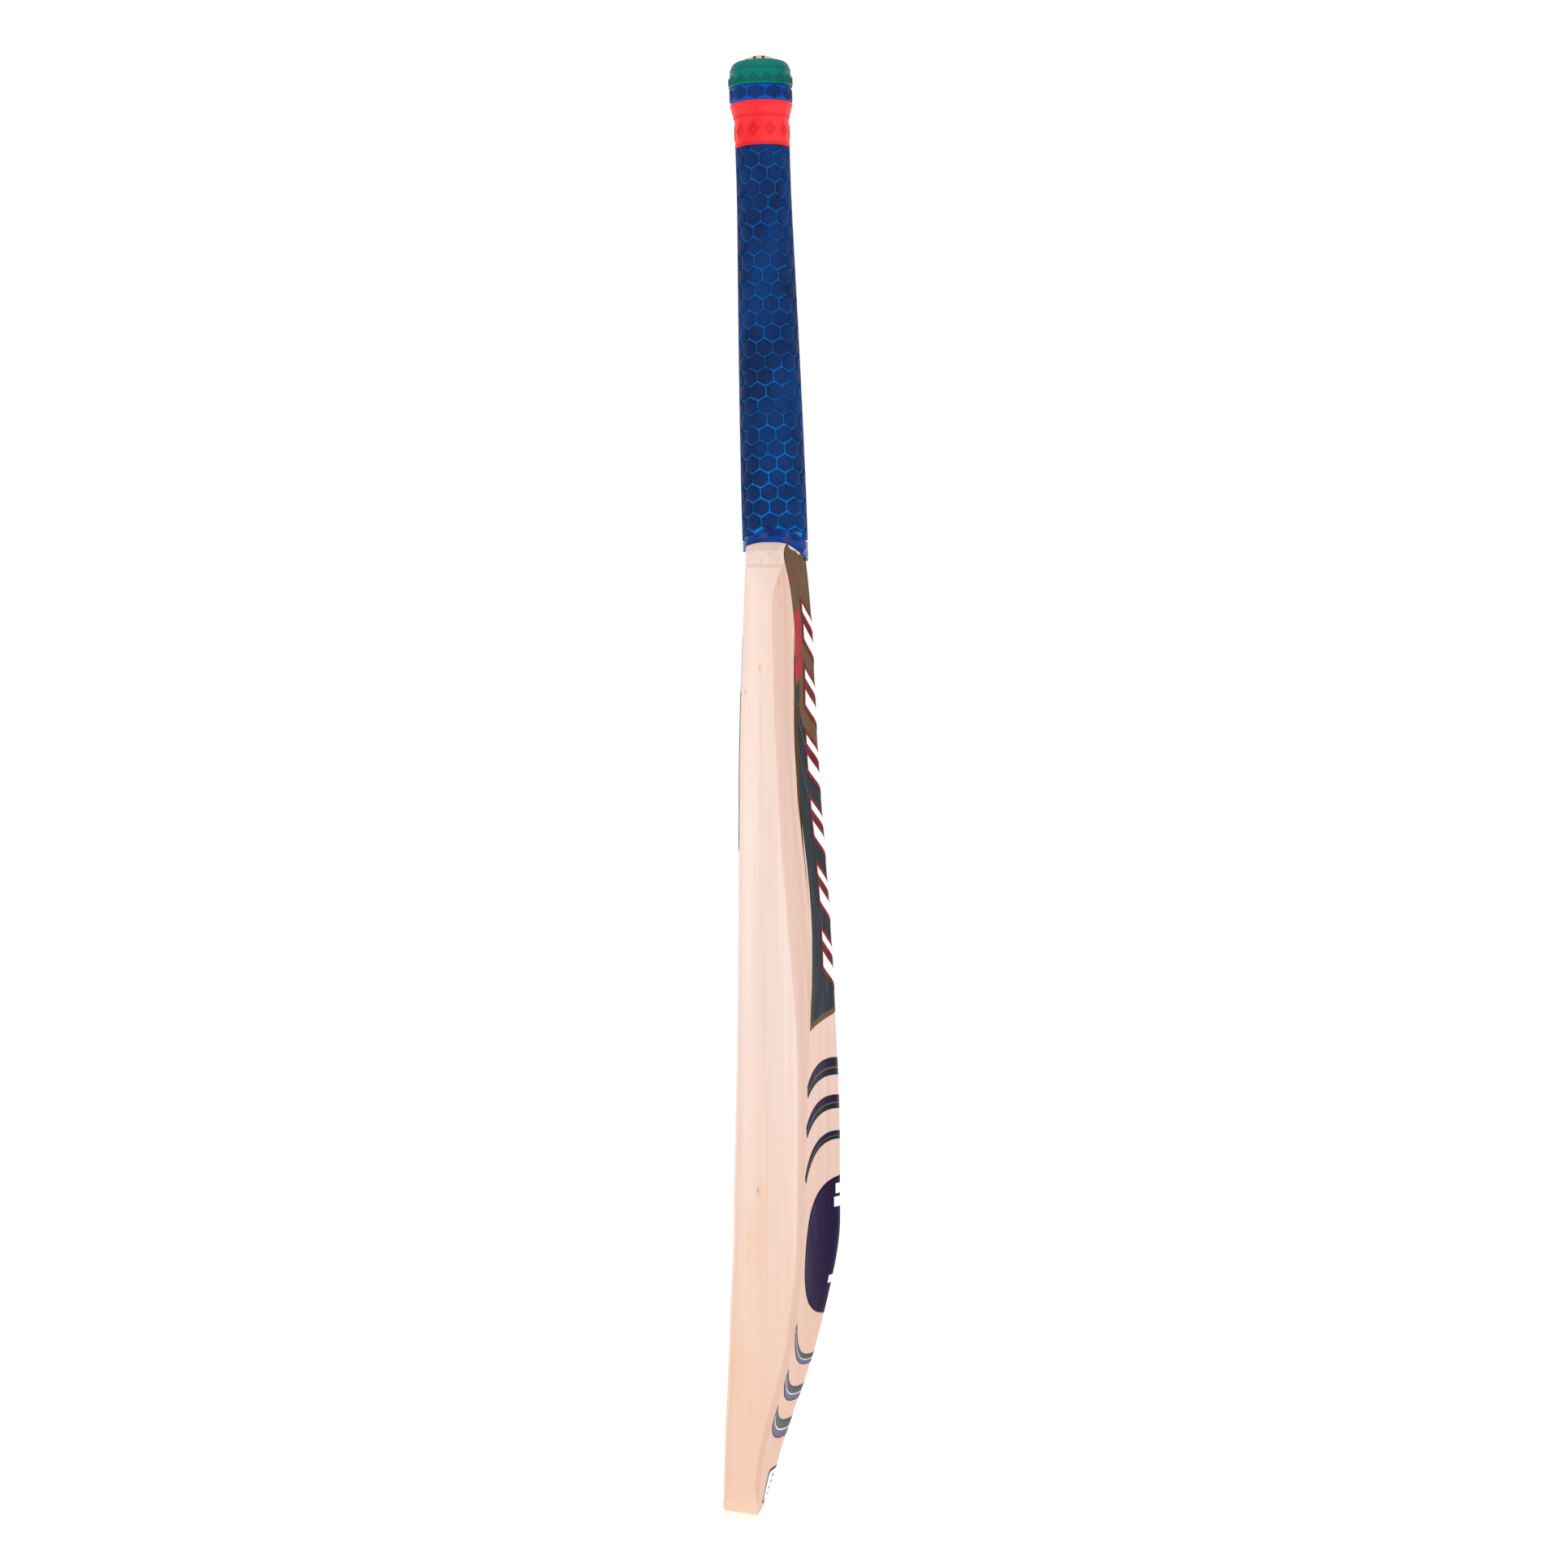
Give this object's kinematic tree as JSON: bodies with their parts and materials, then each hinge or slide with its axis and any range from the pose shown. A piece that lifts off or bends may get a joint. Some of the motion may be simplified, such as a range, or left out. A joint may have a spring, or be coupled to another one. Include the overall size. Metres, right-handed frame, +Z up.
{
  "type": "cricket bat",
  "caption": "Full-size cricket bat: willow blade with a ridged back, laminated cane handle let into it in a V, moulded rubber grip, toe guard and film labels.",
  "frame": {"origin": "front edge of the toe guard's flat underside, on the blade's centre plane", "axes": "+Z up the bat from toe to handle, +Y from the hitting face to the spine on the back, +X across the blade to its right edge as seen from the hitting face (it looks the same both ways)"},
  "size_m": [0.108, 0.0685, 0.8506],
  "materials": {
    "willow_blade": "smooth sanded bare willow, satin",
    "handle_cane": "laminated rattan cane, satin",
    "insert_rubber": "matt dark rubber and cork sheet",
    "handle_twine": "waxed linen binding thread",
    "grip_blue": "moulded rubber, satin, ribbed hexagons",
    "grip_red": "moulded rubber, satin",
    "grip_green": "moulded rubber, satin",
    "hem_blue": "plain stretched rubber, glossy",
    "toe_guard_clear": "milky polyurethane, satin",
    "label_main": "printed film, brown with dark red and teal panels, gloss",
    "label_arc_dark": "printed film, navy, gold and teal bands, gloss",
    "label_arc_light": "printed film, grey green and violet bands, gloss",
    "label_oval": "printed film, navy, gloss",
    "label_white": "printed film, white with a dark border, gloss",
    "label_face": "printed film, violet and white, gloss"
  },
  "bodies": {
    "root": {"blade": "willow_blade", "cane_face_left": "handle_cane", "cane_face_middle": "handle_cane", "cane_face_right": "handle_cane", "cane_front_left": "handle_cane", "cane_front_middle": "handle_cane", "cane_front_right": "handle_cane", "cane_rear_left": "handle_cane", "cane_rear_middle": "handle_cane", "cane_rear_right": "handle_cane", "cane_back_left": "handle_cane", "cane_back_middle": "handle_cane", "cane_back_right": "handle_cane", "rubber_insert_1": "insert_rubber", "rubber_insert_2": "insert_rubber", "rubber_insert_3": "insert_rubber", "twine_binding": "handle_twine", "grip_sleeve_blue": "grip_blue", "grip_band_red": "grip_red", "grip_ring_blue": "grip_blue", "grip_end_green": "grip_green", "grip_hem": "hem_blue", "toe_guard": "toe_guard_clear", "label_back_main": "label_main", "label_back_oval": "label_oval", "label_toe": "label_white", "label_face": "label_face", "label_arc_upper_1": "label_arc_dark", "label_arc_lower_1": "label_arc_light", "label_arc_upper_2": "label_arc_dark", "label_arc_lower_2": "label_arc_light", "label_arc_upper_3": "label_arc_dark", "label_arc_lower_3": "label_arc_light"}
  },
  "joints": []
}
